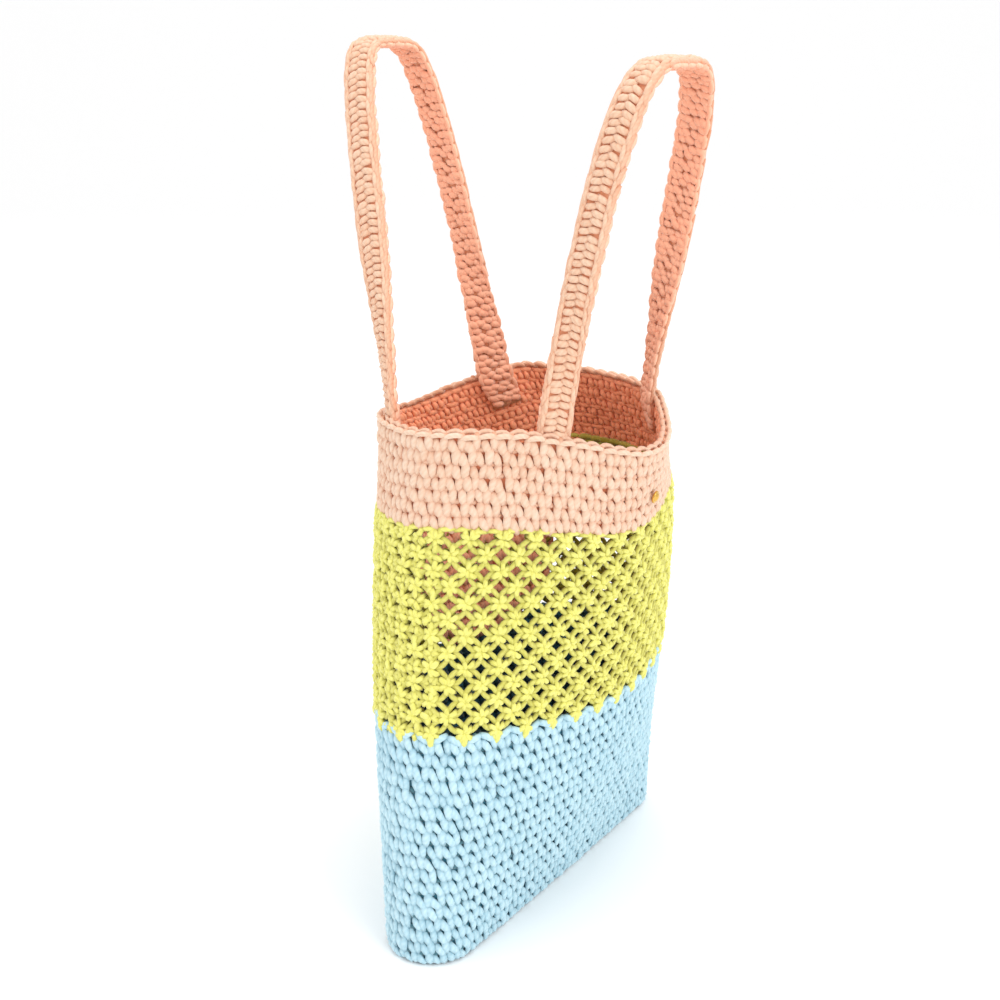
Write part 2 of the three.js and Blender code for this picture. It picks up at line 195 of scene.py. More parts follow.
def section(name, up):
    """A row of SECTIONS at each height: a cubic whose slope at each given height is the rise
    between that height's neighbours."""
    share = np.array(SECTIONS["share"])
    value = np.array(SECTIONS[name])
    at = np.arange(len(share))
    low, high = np.maximum(at - 1, 0), np.minimum(at + 1, len(share) - 1)
    slope = (value[high] - value[low]) / (share[high] - share[low])
    i = np.clip(np.searchsorted(share, up, side="left") - 1, 0, len(share) - 2)
    span = share[i + 1] - share[i]
    t = (up - share[i]) / span
    start = (2 * t ** 3 - 3 * t ** 2 + 1) * value[i] + (t ** 3 - 2 * t ** 2 + t) * span * slope[i]
    end = (3 * t ** 2 - 2 * t ** 3) * value[i + 1] + (t ** 3 - t ** 2) * span * slope[i + 1]
    return start + end


def smooth(value):
    """A smooth step: 0 below 0, 1 above 1, and three squares less two cubes between."""
    t = np.clip(value, 0, 1)
    return t * t * (3 - 2 * t)


def skin(around, up):
    """The outer face at each height (rows) and share of the girth (columns): it opens from the
    long narrow base outline to an oval, leans, turns and folds."""
    quarter = np.pi * BASE_END_RADIUS / 2
    straight = GIRTH / 2 - 2 * quarter
    stops = np.cumsum([0, quarter, straight, 2 * quarter, straight, quarter])
    centre = np.interp(around * GIRTH, stops, np.array([1, 1, -1, -1, 1, 1]) * straight / 2)
    angle = np.interp(around * GIRTH, stops, np.array([0, 1, 1, 3, 3, 4]) * np.pi / 2)
    fine = np.linspace(0, 2 * np.pi, 721)
    rows = []
    for length, width in zip(section("half_length", up), section("half_width", up)):
        oval = np.column_stack([length * np.cos(fine), width * np.sin(fine)])
        run = np.concatenate([[0], np.cumsum(np.linalg.norm(np.diff(oval, axis=0), axis=1))])
        rows.append(np.interp(around * run[-1], run, fine))
    oval_angle = np.array(rows)
    share = up[:, None]
    opened = 1 - np.maximum(1 - share, 0) ** OPENING_OUT
    x = (1 - opened) * (centre + BASE_END_RADIUS * np.cos(angle))
    x = x + opened * section("half_length", up)[:, None] * np.cos(oval_angle)
    y = (1 - opened) * BASE_END_RADIUS * np.sin(angle)
    y = y + opened * section("half_width", up)[:, None] * np.sin(oval_angle)
    y = y * (1 - BACK_FLATTEN * share * np.tanh(y / FLATTEN_BLEND))
    polar = np.arctan2(y, x)
    reach = np.hypot(x, y) * (1 + CORNER_PULL * share * np.cos(4 * polar))
    for middle, half_width, out, start in FOLDS:
        off = (around * 360 - middle + 540) % 360 - 180
        reach = reach + out * np.exp(-(off / half_width) ** 2) * smooth((share - start) / (1 - start))
    turn = np.radians(section("turn_deg", up))[:, None]
    z = share * HEIGHT + np.zeros_like(x)
    for waves, along, across in RIM_WAVES:
        phase = waves * 2 * np.pi * around
        z = z + share ** 2 * (along * np.cos(phase) + across * np.sin(phase))
    return np.stack([
        section("shift_x", up)[:, None] + reach * np.cos(polar + turn),
        section("shift_y", up)[:, None] + reach * np.sin(polar + turn),
        z,
    ], axis=-1)


# Along the cloth from 0, where the wall leaves its rounded bottom edge, up to the rim, and below 0
# round that edge and in across the base.
EDGE_RUN = BASE_EDGE * np.pi / 2
BASE_REACH = BASE_END_RADIUS - 0.1
LEVELS = np.concatenate([
    np.linspace(-(BASE_REACH - BASE_EDGE) - EDGE_RUN, -EDGE_RUN, 16)[:-1],
    np.linspace(-EDGE_RUN, 0, 7)[:-1],
    np.linspace(0, RIM + 6, 158),
])
bend = np.clip(-LEVELS / BASE_EDGE, 0, np.pi / 2)
rise = np.where(LEVELS < 0, BASE_EDGE * (1 - np.sin(bend)), LEVELS + BASE_EDGE)
inset = BASE_EDGE * (1 - np.cos(bend)) + np.maximum(-LEVELS - EDGE_RUN, 0)
ring = np.arange(COLUMNS) / COLUMNS
wall = skin(ring, rise / HEIGHT)
tangent = np.roll(wall, -1, axis=1) - np.roll(wall, 1, axis=1)
outward = np.stack([tangent[..., 1], -tangent[..., 0], np.zeros(tangent.shape[:2])], axis=-1)
outward /= np.linalg.norm(outward, axis=-1, keepdims=True)
wall = wall - inset[:, None, None] * outward
normal = np.cross(tangent, np.gradient(wall, LEVELS, axis=0))
normal /= np.linalg.norm(normal, axis=-1, keepdims=True)
CLOTH = np.concatenate([wall, wall[:, :1]], axis=1)
CLOTH_OUT = np.concatenate([normal, normal[:, :1]], axis=1)


def between(grid, row, col):
    """A grid's value between its four nearest points, weighted by nearness."""
    i = np.clip(row.astype(int), 0, grid.shape[0] - 2)
    j = np.clip(col.astype(int), 0, grid.shape[1] - 2)
    a, b = (row - i)[..., None], (col - j)[..., None]
    low = grid[i, j] * (1 - b) + grid[i, j + 1] * b
    return low * (1 - a) + (grid[i + 1, j] * (1 - b) + grid[i + 1, j + 1] * b) * a


def on_cloth(x, y, out):
    """The place of x mm round the girth and y mm up the cloth, moved out along the skin's normal."""
    row = np.interp(y, LEVELS, np.arange(len(LEVELS)))
    col = (x / GIRTH % 1) * COLUMNS
    return between(CLOTH, row, col) + out[..., None] * between(CLOTH_OUT, row, col)


def strand(points, radius, steps=5, sides=6, taper=0.7, flat=1.0):
    """A length of cord: rings of points round a smooth curve through the given points, fattest
    at the middle and closed at both ends."""
    given = np.array(points, float)
    held = np.concatenate([[2 * given[0] - given[1]], given, [2 * given[-1] - given[-2]]])
    at = np.linspace(0, len(given) - 1, steps + 1)
    i = np.minimum(at.astype(int), len(given) - 2)
    t = (at - i)[:, None]
    a, b, c, d = (held[i + k] for k in range(4))
    curve = 0.5 * (
        2 * b + (c - a) * t + (2 * a - 5 * b + 4 * c - d) * t ** 2 + (3 * b - a - 3 * c + d) * t ** 3)
    along = np.gradient(curve, axis=0)
    along /= np.linalg.norm(along, axis=1, keepdims=True)
    across = np.cross(along, (0, 0, 1))
    across /= np.maximum(np.linalg.norm(across, axis=1, keepdims=True), 1e-6)
    rising = np.cross(across, along)
    share = np.linspace(0, 1, steps + 1)
    thick = radius * (taper + (1 - taper) * np.sin(np.pi * share) ** 0.7)
    turn = 2 * np.pi * (np.arange(sides) + 0.5) / sides
    rings = curve[:, None] + thick[:, None, None] * (
        np.cos(turn)[None, :, None] * across[:, None] + flat * np.sin(turn)[None, :, None] * rising[:, None])
    length = np.concatenate([[0], np.cumsum(np.linalg.norm(np.diff(curve, axis=0), axis=1))])
    k, s = np.meshgrid(np.arange(steps), np.arange(sides), indexing="ij")
    k, s = k.ravel(), s.ravel()
    n = (s + 1) % sides
    faces = np.column_stack([k * sides + s, k * sides + n, (k + 1) * sides + n, (k + 1) * sides + s])
    marks = np.stack([
        np.column_stack([length[k], length[k], length[k + 1], length[k + 1]]),
        np.column_stack([s, s + 1, s + 1, s]) / sides,
    ], axis=-1)
    fan = np.array([[0, m, m + 1, m + 2] for m in range(1, sides - 2, 2)])
    ends = np.concatenate([fan[:, ::-1], fan + steps * sides])
    end_marks = np.zeros((len(ends), 4, 2))
    end_marks[len(fan):, :, 0] = length[-1]
    return rings.reshape(-1, 3), np.concatenate([faces, ends]), np.concatenate([marks, end_marks])


def laid(shape, x, y, seed, place=on_cloth, wobble=1.0, lean=0.0, sink=0.0, faces_at=(0.7, -2.6)):
    """Copies of one length of cord at many places of the cloth, each turned, sized and moved a
    little by hand. Depth is 0 on the fabric's face and 1 on its back, as far apart as faces_at
    says, and sets how much painted shade the cord's colour takes."""
    points, faces, marks = shape
    draw = np.random.default_rng(seed)
    x, y = np.broadcast_arrays(np.asarray(x, float).ravel(), np.asarray(y, float).ravel())
    many = len(x)
    turn = wobble * draw.normal(0, 0.07, many)[:, None] + lean
    grow = 1 + wobble * draw.normal(0, 0.035, many)[:, None]
    shift = wobble * draw.normal(0, 0.22, (3, many))[:, :, None]
    px = x[:, None] + grow * (points[:, 0] * np.cos(turn) - points[:, 1] * np.sin(turn)) + shift[0]
    py = y[:, None] + grow * (points[:, 0] * np.sin(turn) + points[:, 1] * np.cos(turn)) + shift[1]
    pz = points[:, 2] * grow + 0.6 * shift[2] - sink
    tone = draw.random(many)
    placed = place(px, py, pz).reshape(-1, 3)
    placed[:, 2] = np.maximum(placed[:, 2], 0)
    return (
        placed,
        (faces + len(points) * np.arange(many)[:, None, None]).reshape(-1, 4),
        (marks + np.stack([draw.random(many) * 40, np.zeros(many)], axis=-1)[:, None, None]).reshape(
            -1, 4, 2),
        np.repeat(tone, len(points)),
        np.clip((faces_at[0] - pz.ravel()) / (faces_at[0] - faces_at[1]), 0, 1),
    )


def cord_piece(name, lengths, material):
    """One mesh of all the given lengths of cord, with a map that runs along and round each of
    them, and each point's tone and depth."""
    points = np.concatenate([part[0] for part in lengths]) * MM
    starts = np.cumsum([0] + [len(part[0]) for part in lengths[:-1]])
    faces = np.concatenate([part[1] + start for part, start in zip(lengths, starts)])
    marks = np.concatenate([part[2] for part in lengths])
    mesh = bpy.data.meshes.new(name)
    mesh.vertices.add(len(points))
    mesh.vertices.foreach_set("co", points.astype(np.float32).ravel())
    mesh.loops.add(faces.size)
    mesh.loops.foreach_set("vertex_index", faces.astype(np.int32).ravel())
    mesh.polygons.add(len(faces))
    mesh.polygons.foreach_set("loop_start", np.arange(0, faces.size, 4, dtype=np.int32))
    mesh.polygons.foreach_set("use_smooth", np.ones(len(faces), bool))
    mesh.uv_layers.new(name="cord")
    mesh.uv_layers["cord"].uv.foreach_set("vector", marks.astype(np.float32).ravel())
    mesh.update(calc_edges=True)
    for name, k in (("tone", 3), ("depth", 4)):
        marked = mesh.attributes.new(name, "FLOAT", "POINT")
        marked.data.foreach_set("value", np.concatenate([part[k] for part in lengths]).astype(np.float32))
    mesh.materials.append(material)
    piece = bpy.data.objects.new(mesh.name, mesh)
    bpy.context.scene.collection.objects.link(piece)
    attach(piece, "root")
    return piece


def shell_piece(name, grid, out, thick, material, wraps=True):
    """A thin closed sheet: the grid's points and the same points a thickness behind them,
    joined round the edges."""
    rows, cols = grid.shape[:2]
    points = np.concatenate([grid.reshape(-1, 3), (grid - thick * out).reshape(-1, 3)]) * MM
    back = rows * cols
    i, j = np.meshgrid(np.arange(rows - 1), np.arange(cols if wraps else cols - 1), indexing="ij")
    i, j = i.ravel(), j.ravel()
    n = (j + 1) % cols
    front = np.column_stack([i * cols + j, i * cols + n, (i + 1) * cols + n, (i + 1) * cols + j])
    faces = [front, front[:, ::-1] + back]
    j = np.arange(cols if wraps else cols - 1)
    n = (j + 1) % cols
    top = (rows - 1) * cols
    faces.append(np.column_stack([j, j + back, n + back, n]))
    faces.append(np.column_stack([j + top, n + top, n + top + back, j + top + back]))
    if not wraps:
        i = np.arange(rows - 1) * cols
        faces.append(np.column_stack([i, i + cols, i + cols + back, i + back]))
        i = i + cols - 1
        faces.append(np.column_stack([i, i + back, i + cols + back, i + cols]))
    faces = np.concatenate(faces)
    mesh = bpy.data.meshes.new(name)
    mesh.from_pydata(points.tolist(), [], faces.tolist())
    mesh.polygons.foreach_set("use_smooth", np.ones(len(faces), bool))
    mesh.materials.append(material)
    piece = bpy.data.objects.new(name, mesh)
    bpy.context.scene.collection.objects.link(piece)
    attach(piece, "root")
    return piece


TWIST_RUN = 9.0
PLIES = 3
# How far each cord's colour goes from deep to light: a base, the painted shade between plies, a tone for
# each length and random patches.
SHADES = {"base": 0.2, "ply": 0.3, "length": 0.25, "patch": 0.35}


def cotton_cord(name, light, deep, painted_shade):
    """Soft twisted cotton cord: matt, with painted shade that makes it paler where a ply stands up
    and deeper between plies, and a faint fuzz that catches light at its edges. Towards the back of
    the fabric it takes painted shade: the fuller, deeper colour that light has between cords."""
    material, tree, surface = new_material(name)
    mark = node(tree, "UVMap", {"uv_map": "cord"})
    split = node(tree, "SeparateXYZ", Vector=mark.outputs["UV"])
    # Three plies, each with a twist that comes round once in TWIST_RUN mm.
    run = node(tree, "Math", {"operation": "MULTIPLY"}, _0=split.outputs["X"], _1=1 / TWIST_RUN)
    turn = node(tree, "Math", {"operation": "ADD"}, _0=split.outputs["Y"], _1=run.outputs[0])
    phase = node(tree, "Math", {"operation": "MULTIPLY"}, _0=turn.outputs[0], _1=PLIES * 2 * np.pi)
    wave = node(tree, "Math", {"operation": "SINE"}, _0=phase.outputs[0])
    ply = node(tree, "MapRange", _0=wave.outputs[0], _1=-1.0, _2=1.0, _3=0.0, _4=1.0)
    place = node(tree, "TexCoord")
    fuzz = node(tree, "TexNoise", Vector=place.outputs["Object"], Scale=1500.0, Detail=3.0)
    patch = node(tree, "TexNoise", Vector=place.outputs["Object"], Scale=30.0, Detail=2.0)
    tone = node(tree, "Attribute", {"attribute_name": "tone"})
    # Painted shade between plies, with a random tone for each length and random patches.
    shade = node(
        tree, "Math", {"operation": "MULTIPLY_ADD"}, _0=ply.outputs[0], _1=SHADES["ply"], _2=SHADES["base"])
    shade = node(
        tree, "Math", {"operation": "MULTIPLY_ADD"},
        _0=tone.outputs["Fac"], _1=SHADES["length"], _2=shade.outputs[0])
    shade = node(
        tree, "Math", {"operation": "MULTIPLY_ADD"},
        _0=patch.outputs["Fac"], _1=SHADES["patch"], _2=shade.outputs[0])
    colour = node(
        tree, "Mix", {"data_type": "RGBA"}, _0=shade.outputs[0], _6=linear(deep), _7=linear(light))
    # Painted shade: towards the back of the fabric the colour goes over to a deeper, fuller one.
    depth = node(tree, "Attribute", {"attribute_name": "depth"})
    colour = node(
        tree, "Mix", {"data_type": "RGBA"}, _0=depth.outputs["Fac"], _6=colour.outputs[2], _7=linear(painted_shade))
    tree.links.new(colour.outputs[2], surface.inputs["Base Color"])
    height = node(
        tree, "Math", {"operation": "MULTIPLY_ADD"}, _0=fuzz.outputs["Fac"], _1=0.5, _2=ply.outputs[0])
    bump = node(tree, "Bump", Strength=0.35, Distance=0.3 * MM, Height=height.outputs[0])
    tree.links.new(bump.outputs["Normal"], surface.inputs["Normal"])
    surface.inputs["Roughness"].default_value = 0.85
    surface.inputs["Specular IOR Level"].default_value = 0.25
    surface.inputs["Sheen Weight"].default_value = 0.25
    surface.inputs["Sheen Roughness"].default_value = 0.5
    return material


def packed_cord(name, light, deep):
    """The cords deep in the fabric, seen only through its smallest gaps: the same cotton in the
    shade of its neighbours."""
    material, tree, surface = new_material(name)
    place = node(tree, "TexCoord")
    patch = node(tree, "TexNoise", Vector=place.outputs["Object"], Scale=350.0, Detail=2.0)
    colour = node(
        tree, "Mix", {"data_type": "RGBA"}, _0=patch.outputs["Fac"], _6=linear(deep), _7=linear(light))
    tree.links.new(colour.outputs[2], surface.inputs["Base Color"])
    bump = node(tree, "Bump", Strength=0.5, Distance=0.5 * MM, Height=patch.outputs["Fac"])
    tree.links.new(bump.outputs["Normal"], surface.inputs["Normal"])
    surface.inputs["Roughness"].default_value = 0.9
    surface.inputs["Specular IOR Level"].default_value = 0.15
    return material


# One single crochet stitch, right side: two legs in a V with a small hole in its mouth, the loop of
# the round below between this V and the next, and a bar across the back.
STITCHES = 67
STITCH = GIRTH / STITCHES
CORD = 2.65
LEAN = 0.2
PRESSED = 0.66


def crochet(row_height):
    """The legs and the front loop of a stitch, its back bar and its back legs, for rounds of
    this height."""
    w, h = STITCH, row_height
    left = [(-0.39 * w, 0.78 * h, -2.9), (-0.32 * w, 0.36 * h, -1.2), (-0.22 * w, -0.1 * h, -0.6),
            (-0.1 * w, -0.7 * h, -1.8)]
    right = [(0.34 * w, 0.74 * h, -2.9), (0.3 * w, 0.34 * h, -1.3), (0.23 * w, -0.1 * h, -0.7),
             (0.12 * w, -0.68 * h, -1.8)]
    loop = [(0.2 * w, -0.4 * h, -2.6), (0.5 * w, -0.34 * h, -2.0), (0.8 * w, -0.42 * h, -2.6)]
    bar = [(-0.5 * w, 0.36 * h, -3.5), (0, 0.3 * h, -WALL + 0.2), (0.5 * w, 0.42 * h, -3.5)]
    lump = [(-0.04 * w, 0.16 * h, -3.2), (0.0, -0.2 * h, -WALL - 0.3), (0.06 * w, -0.56 * h, -3.2)]
    return {
        "left": strand(left, CORD, steps=4, taper=0.48, flat=PRESSED),
        "right": strand(right, CORD, steps=4, taper=0.48, flat=PRESSED),
        "loop": strand(loop, 0.8 * CORD, steps=3, taper=0.6, flat=PRESSED),
        "bar": strand(bar, 0.72 * CORD, steps=3, flat=PRESSED),
        "lump": strand(lump, 0.8 * CORD, steps=3, taper=0.6, flat=0.8),
    }


def rounds(low, high, count, first=0):
    """The middles of the stitches of count rounds between two heights, each round a fifth of a
    stitch further on."""
    row = np.arange(count)
    y = low + (high - low) * (row + 0.5) / count
    x = (np.arange(STITCHES)[None, :] + LEAN * (row[:, None] + first)) * STITCH
    return x, np.broadcast_to(y[:, None], x.shape)


BLUE_ROUNDS = 18
BLUE_START = -EDGE_RUN * 0.75
V_TURN = np.radians(19)
blue_cord = cotton_cord("sky_blue_cotton_cord", "#d0ecf5", "#a4d0e2", "#4f8b9f")
blue_painted_shade_cord = cotton_cord("sky_blue_cotton_cord_shaded", "#6f9fae", "#4c7d8c", "#2c4f56")
blue_depth = packed_cord("sky_blue_cotton_shaded", "#5b98ad", "#386f84")
height = (BLUE_TOP - BLUE_START) / BLUE_ROUNDS
stitch = crochet(height)
x, y = rounds(BLUE_START, BLUE_TOP, BLUE_ROUNDS)
blue_legs = cord_piece("blue_stitches", [
    laid(stitch["left"], x, y, 1, lean=V_TURN, wobble=1.6),
    laid(stitch["right"], x, y, 2, lean=V_TURN, wobble=1.6),
], blue_cord)
# The loops, back bars and back legs: the same cord in a darker painted shade.
blue_loops = cord_piece("blue_loops", [
    laid(stitch["loop"], x, y, 3),
    laid(stitch["bar"], x, y, 4),
    laid(stitch["lump"], x, y, 5),
], blue_painted_shade_cord)

# The base: ovals of the same stitches round a centre row, each oval shorter than the one outside it.
# It rests on its flattened cords.
BASE_ROUNDS = 3
BASE_SINK = 1.2
base_legs = []
spacing = (BLUE_START - LEVELS[0]) / BASE_ROUNDS
for k in range(BASE_ROUNDS):
    level = BLUE_START - spacing * (k + 0.5)
    row = np.interp(level, LEVELS, np.arange(len(LEVELS)))
    ring = between(CLOTH, np.full(COLUMNS + 1, row), np.arange(COLUMNS + 1.0))
    run = np.concatenate([[0], np.cumsum(np.linalg.norm(np.diff(ring, axis=0), axis=1))])
    many = int(round(run[-1] / STITCH))
    x = np.interp(np.arange(many) / many * run[-1], run, np.arange(COLUMNS + 1) / COLUMNS * GIRTH)
    base_legs += [laid(stitch[part], x, np.full(many, level), 10 + 3 * k + n, sink=BASE_SINK)
                  for n, part in enumerate(("left", "right", "bar"))]
blue_base = cord_piece("blue_base_stitches", base_legs, blue_cord)


# A thin closed ground lies in the middle of the fabric, where only its smallest gaps show it.
GROUND_DEPTH = 2.3
GROUND_THICK = 0.9


def wall_grid(low, high, depth, rows, cols=160):
    """A grid of the cloth between two heights at one depth behind its face, and its directions out."""
    y, x = np.meshgrid(np.linspace(low, high, rows), np.arange(cols) / cols * GIRTH, indexing="ij")
    out = on_cloth(x, y, np.zeros_like(x) + 1) - on_cloth(x, y, np.zeros_like(x))
    return on_cloth(x, y, np.zeros_like(x) - depth), out


grid, out = wall_grid(LEVELS[0], BLUE_TOP - 1, GROUND_DEPTH, 36)
blue_ground = shell_piece("blue_ground", grid, out, GROUND_THICK, blue_depth)
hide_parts("blue_lower_body")


# The top edge of the blue body: long flat chain loops that rise and fall between the lime points.
KNOTS = 32
PITCH = GIRTH / KNOTS
KNOT_ROWS = 13
NET_LOW = BLUE_TOP + 4.0
NET_HIGH = LIME_TOP - 4.5
NET_RISE = (NET_HIGH - NET_LOW) / (KNOT_ROWS - 1)
rising = strand(
    [(0.4, -2.4, -2.2), (3.0, -0.6, -0.4), (6.8, 1.4, -0.2), (9.8, 2.4, -1.8)],
    2.1, steps=6, flat=0.75)
falling = strand(
    [(8.6, 2.6, -1.8), (11.8, 2.2, -0.3), (15.6, 0.4, -0.4), (18.4, -1.8, -2.2)],
    2.1, steps=6, flat=0.75)
x = np.arange(KNOTS) * PITCH
cord_piece("blue_top_edge", [
    laid(rising, x, BLUE_TOP + 0.0, 21),
    laid(falling, x, BLUE_TOP + 0.0, 22),
], blue_cord)

# The lime band: an openwork of knots in staggered rows. Two cords bow apart from each knot to each of
# its four neighbours, and leave a small gap between them and a large one between four knots.
# The heights off the face where the net's painted shade starts and where it is full.
NET_FACES = (1.5, -3.2)
lime_cord = cotton_cord("lime_cotton_cord", "#f8f490", "#dcd860", "#90871c")
NET_CORD = 1.65
BOW = 2.8
link = np.array([PITCH / 2, NET_RISE])
reach = np.hypot(*link)
along = link / reach
aside = np.array([along[1], -along[0]])


def bowed(side, mirror):
    """One of a pair of cords from a knot to a neighbour above: it bows to one side and dips
    into both knots."""
    shares = (
        # share of the way, share of the bow, height off the face
        (0.06, 0.25, -2.4), (0.25, 0.8, -1.5), (0.5, 1.0, -1.3), (0.75, 0.8, -1.5), (0.94, 0.25, -2.4),
    )
    points = [(*(share * link + side * bow * BOW * aside) * (mirror, 1), out)
              for share, bow, out in shares]
    return strand(points, NET_CORD, steps=6, taper=0.85)


row = np.arange(KNOT_ROWS)
knot_x = ((np.arange(KNOTS)[None, :] + 0.5 * (row[:, None] % 2)) * PITCH)
knot_y = np.broadcast_to((NET_LOW + NET_RISE * row)[:, None], knot_x.shape)
lime_net = cord_piece("lime_net", [
    laid(bowed(side, mirror), knot_x[:-1], knot_y[:-1], 30 + 2 * side + mirror,
         wobble=0.8, faces_at=NET_FACES)
    for side in (-1, 1) for mirror in (-1, 1)
], lime_cord)
PETALS = (
    # direction in degrees, length in mm
    (14, 5.6),
    (66, 5.0),
    (128, 5.4),
    (192, 5.4),
    (248, 4.8),
    (304, 5.4),
)
PETAL_TURN = np.radians(24)


def petal(degrees, length):
    """One loop of a knot: a fat length of cord that leaves the knot's middle and curls a little
    to one side."""
    shares = ((0.05, -0.5), (0.36, 0.5), (0.72, 0.1), (1.0, -2.2))
    angle = np.radians(degrees)
    points = []
    for share, out in shares:
        at = angle + PETAL_TURN * share
        points.append((length * share * np.cos(at), length * share * np.sin(at), out))
    return strand(points, 1.6, steps=3, taper=0.7)


back = strand([(-4.6, 2.0, -3.4), (0.0, 0.0, -4.2), (4.6, -2.0, -3.4)], 2.0, steps=4)
back_over = strand([(-4.2, -3.0, -3.2), (0.0, 0.0, -3.6), (4.2, 3.0, -3.2)], 2.0, steps=4)
# At one narrow end the net is drawn together, so that more cord fills its large gaps.
GATHERED = (248.0, 322.0)
gap_x, gap_y = knot_x + PITCH / 2, knot_y
gathered = (gap_x % GIRTH > GATHERED[0]) & (gap_x % GIRTH < GATHERED[1])
gap_x, gap_y = gap_x[gathered], gap_y[gathered]
lime_knots = cord_piece("lime_knots", [
    laid(part, knot_x, knot_y, 40 + n, wobble=1.5, faces_at=NET_FACES)
    for n, part in enumerate([petal(*row) for row in PETALS] + [back, back_over])
] + [
    laid(petal(degrees, 5.2), gap_x, gap_y, 57 + n, wobble=3.0, sink=0.6, faces_at=NET_FACES)
    for n, degrees in enumerate((25, 85, 150, 205, 265, 330))
], lime_cord)
tail = strand([(0.3, 1.2, -1.2), (0.6, -2.2, 0.2), (0.3, -5.0, 0.4), (0.0, -8.4, -1.9)], 1.9, steps=6)
tail_side = strand(
    [(-2.4, 0.8, -1.8), (-1.9, -2.4, -0.7), (-1.1, -4.8, -0.5), (-0.5, -7.4, -2.2)],
    1.6, steps=5)
head = strand([(-0.6, -0.6, -1.4), (-1.8, 2.0, -0.6), (-2.8, 4.4, -0.8), (-3.4, 7.4, -2.2)], 1.6, steps=5)
head_side = strand([(0.8, -0.6, -1.4), (2.0, 2.0, -0.6), (3.0, 4.4, -0.8), (3.6, 7.4, -2.2)], 1.6, steps=5)
top_loop = strand([(-0.6, -0.4, -2.2), (2.8, 0.3, -0.9), (6.4, 0.2, -0.9), (9.8, -0.2, -2.2)], 1.5, steps=6)
turned_in = strand(
    [(-5.0, -0.4, -4.8), (-1.6, 0.5, -5.8), (1.8, 0.5, -5.8), (5.2, -0.4, -4.8)],
    2.0, steps=4)
TURNED_STEP = 8.0
# The heights where the turned-in edge's painted shade starts and where it is full.
TURNED_FACES = (-3.0, -9.0)
turned_x = np.arange(-7, 7) * TURNED_STEP
lime_edges = cord_piece("lime_edges", [
    laid(turned_in, turned_x, LIME_TOP + 1.5, 28, wobble=1.8, faces_at=TURNED_FACES),
    laid(turned_in, turned_x + TURNED_STEP / 2, LIME_TOP + 5.0, 29, wobble=1.8, faces_at=TURNED_FACES),
    laid(tail, knot_x[0], knot_y[0], 51),
    laid(tail_side, knot_x[0], knot_y[0], 52),
    laid(head, knot_x[-1], knot_y[-1], 53),
    laid(head_side, knot_x[-1], knot_y[-1], 54),
    laid(top_loop, np.arange(2 * KNOTS) * PITCH / 2, LIME_TOP - 0.2, 55),
], lime_cord)
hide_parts("lime_openwork_band")


# The peach top band: seven rounds of single crochet in the same cord, finished with a chain whose two
# rows of loops lie side by side along the rim. Its inside shows the backs of the stitches, in a coral
# painted shade.
PEACH_ROUNDS = 7
CHAIN_RISE = 2.5
peach_cord = cotton_cord("peach_cotton_cord", "#f1d7c1", "#e4ba9b", "#da9874")
peach_painted_shade_cord = cotton_cord("peach_cotton_cord_painted_shade", "#ffc19c", "#ffa278", "#ffab82")
peach_depth = packed_cord("peach_cotton_shaded", "#f09f7c", "#cc7a55")
height = (RIM - CHAIN_RISE - LIME_TOP - 0.6) / PEACH_ROUNDS
stitch = crochet(height)
x, y = rounds(LIME_TOP + 0.6, RIM - CHAIN_RISE, PEACH_ROUNDS, first=BLUE_ROUNDS)
peach_stitches = cord_piece("peach_stitches", [
    laid(stitch["left"], x, y, 61, lean=V_TURN, wobble=1.6),
    laid(stitch["right"], x, y, 62, lean=V_TURN, wobble=1.6),
    laid(stitch["loop"], x, y, 63),
], peach_cord)
# The stitch backs inside the band: the peach cord in a deeper coral painted shade.
peach_backs = cord_piece("peach_stitch_backs", [
    laid(stitch["bar"], x, y, 64),
    laid(stitch["lump"], x - 0.25 * STITCH, y, 65, wobble=1.6),
    laid(stitch["lump"], x + 0.25 * STITCH, y, 66, wobble=1.6),
], peach_painted_shade_cord)
front = strand(
    [(-1.4, -2.2, -1.6), (1.8, -0.3, -0.2), (6.0, 0.5, -0.1), (10.0, -0.9, -1.6)],
    1.55, steps=6, taper=0.55)
behind = strand(
    [(-2.4, -0.6, -2.6), (1.2, 1.0, -4.1), (5.2, 1.3, -4.0), (9.0, -0.2, -2.6)],
    1.55, steps=6, taper=0.55)
x = np.arange(STITCHES) * STITCH
peach_chain = cord_piece("peach_rim_chain", [
    laid(front, x, RIM - 0.9, 67, wobble=0.8),
    laid(behind, x, RIM - 0.9, 68, wobble=0.8, faces_at=(-1.5, -6.0)),
], peach_cord)
grid, out = wall_grid(LIME_TOP + 0.8, RIM - 1.4, GROUND_DEPTH, 12)
peach_ground = shell_piece("peach_ground", grid, out, GROUND_THICK, peach_depth)
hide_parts("peach_top_band")


# The inner pocket: a patch of the same peach crochet with round lower corners, sewn flat to the inside
# of the back wall, where it shows through the net.
POCKET_WIDTH = 124.0
POCKET_MIDDLE = 0.2 * GIRTH
POCKET_LOW = 140.0 - BASE_EDGE
POCKET_HIGH = 260.0 - BASE_EDGE
POCKET_ROUND = 45.0
POCKET_DEPTH = WALL + 2.0
POCKET_ROUNDS = 16
POCKET_GROUND_DEPTH = 2.2


def pocket_half(y):
    """Half the pocket's width at each height: a quarter circle from the bottom, then straight."""
    below = np.clip(POCKET_LOW + POCKET_ROUND - y, 0, POCKET_ROUND)
    return POCKET_WIDTH / 2 - POCKET_ROUND + np.sqrt(POCKET_ROUND ** 2 - below ** 2)


def in_pocket(x, y, out):
    """The place of x mm across and y mm up the pocket, moved out of its own face, which looks
    into the bag."""
    return on_cloth(POCKET_MIDDLE - x, y, -POCKET_DEPTH - out)


